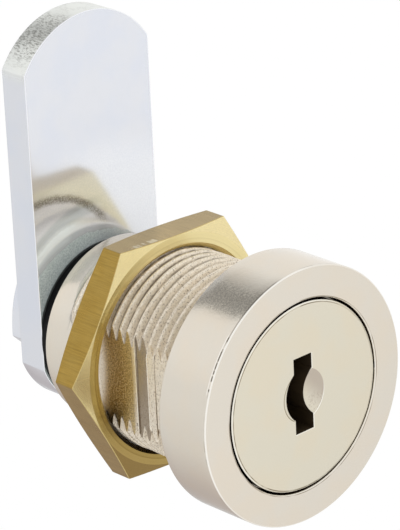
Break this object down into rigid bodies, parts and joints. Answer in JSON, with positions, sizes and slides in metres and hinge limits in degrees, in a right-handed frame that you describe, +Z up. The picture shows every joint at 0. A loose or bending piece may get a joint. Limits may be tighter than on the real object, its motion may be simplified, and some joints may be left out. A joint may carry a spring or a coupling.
{
  "type": "cam lock",
  "caption": "Cam lock: a round head with a keyed plug, a threaded barrel with flats, a hex nut that clamps the panel, and a flat cam on the plug's tail.",
  "frame": {"origin": "on the lock's axis, in the rear face of the head, which seats on the panel", "axes": "+Y along the lock's axis, from the key side to the cam; +Z up along the cam"},
  "size_m": [0.0254, 0.0334, 0.042],
  "materials": {
    "nickel_body": "satin nickel plate on die-cast zinc, with a grainy cast thread",
    "nickel_plug": "satin nickel plate, fine and even",
    "nut_brass": "plain brass with fine machining lines and bright chamfers",
    "cam_zinc": "bright blue-white zinc plate on stamped steel",
    "screw_zinc": "bright zinc plate",
    "washer_black": "black oxide, dull",
    "wafer_brass": "stamped brass",
    "spring_steel": "drawn spring wire"
  },
  "bodies": {
    "lock_body": {"housing": "nickel_body"},
    "plug_and_cam": {"plug": "nickel_plug", "cam": "cam_zinc", "cam_screw": "screw_zinc", "stop_washer": "washer_black", "wafer_spring_1": "spring_steel", "wafer_spring_2": "spring_steel", "wafer_spring_3": "spring_steel", "wafer_spring_4": "spring_steel", "wafer_spring_5": "spring_steel", "wafer_spring_6": "spring_steel", "wafer_spring_7": "spring_steel", "wafer_spring_8": "spring_steel"},
    "nut": {"hex_nut": "nut_brass"},
    "wafer_1": {"wafer_1": "wafer_brass"},
    "wafer_2": {"wafer_2": "wafer_brass"},
    "wafer_3": {"wafer_3": "wafer_brass"},
    "wafer_4": {"wafer_4": "wafer_brass"},
    "wafer_5": {"wafer_5": "wafer_brass"},
    "wafer_6": {"wafer_6": "wafer_brass"},
    "wafer_7": {"wafer_7": "wafer_brass"},
    "wafer_8": {"wafer_8": "wafer_brass"}
  },
  "joints": [
    {"name": "plug_turn", "type": "hinge", "parent": "lock_body", "child": "plug_and_cam", "pos_m": [0, 0, 0], "axis": [0, 1, 0], "range_deg": [0, 90]},
    {"name": "nut_travel", "type": "slide", "parent": "lock_body", "child": "nut", "axis": [0, 1, 0], "range_m": [-0.0088, 0.0022]},
    {"name": "wafer_1_slide", "type": "slide", "parent": "plug_and_cam", "child": "wafer_1", "axis": [0, 0, 1], "range_m": [0, 0.0006], "stiffness_N_per_m": 150, "springref_m": 0.0025, "deforming": ["wafer_spring_1"]},
    {"name": "wafer_2_slide", "type": "slide", "parent": "plug_and_cam", "child": "wafer_2", "axis": [0, 0, -1], "range_m": [0, 0.0006], "stiffness_N_per_m": 150, "springref_m": 0.0025, "deforming": ["wafer_spring_2"]},
    {"name": "wafer_3_slide", "type": "slide", "parent": "plug_and_cam", "child": "wafer_3", "axis": [0, 0, 1], "range_m": [0, 0.0006], "stiffness_N_per_m": 150, "springref_m": 0.0025, "deforming": ["wafer_spring_3"]},
    {"name": "wafer_4_slide", "type": "slide", "parent": "plug_and_cam", "child": "wafer_4", "axis": [0, 0, -1], "range_m": [0, 0.0006], "stiffness_N_per_m": 150, "springref_m": 0.0025, "deforming": ["wafer_spring_4"]},
    {"name": "wafer_5_slide", "type": "slide", "parent": "plug_and_cam", "child": "wafer_5", "axis": [0, 0, 1], "range_m": [0, 0.0006], "stiffness_N_per_m": 150, "springref_m": 0.0025, "deforming": ["wafer_spring_5"]},
    {"name": "wafer_6_slide", "type": "slide", "parent": "plug_and_cam", "child": "wafer_6", "axis": [0, 0, -1], "range_m": [0, 0.0006], "stiffness_N_per_m": 150, "springref_m": 0.0025, "deforming": ["wafer_spring_6"]},
    {"name": "wafer_7_slide", "type": "slide", "parent": "plug_and_cam", "child": "wafer_7", "axis": [0, 0, 1], "range_m": [0, 0.0006], "stiffness_N_per_m": 150, "springref_m": 0.0025, "deforming": ["wafer_spring_7"]},
    {"name": "wafer_8_slide", "type": "slide", "parent": "plug_and_cam", "child": "wafer_8", "axis": [0, 0, -1], "range_m": [0, 0.0006], "stiffness_N_per_m": 150, "springref_m": 0.0025, "deforming": ["wafer_spring_8"]}
  ]
}
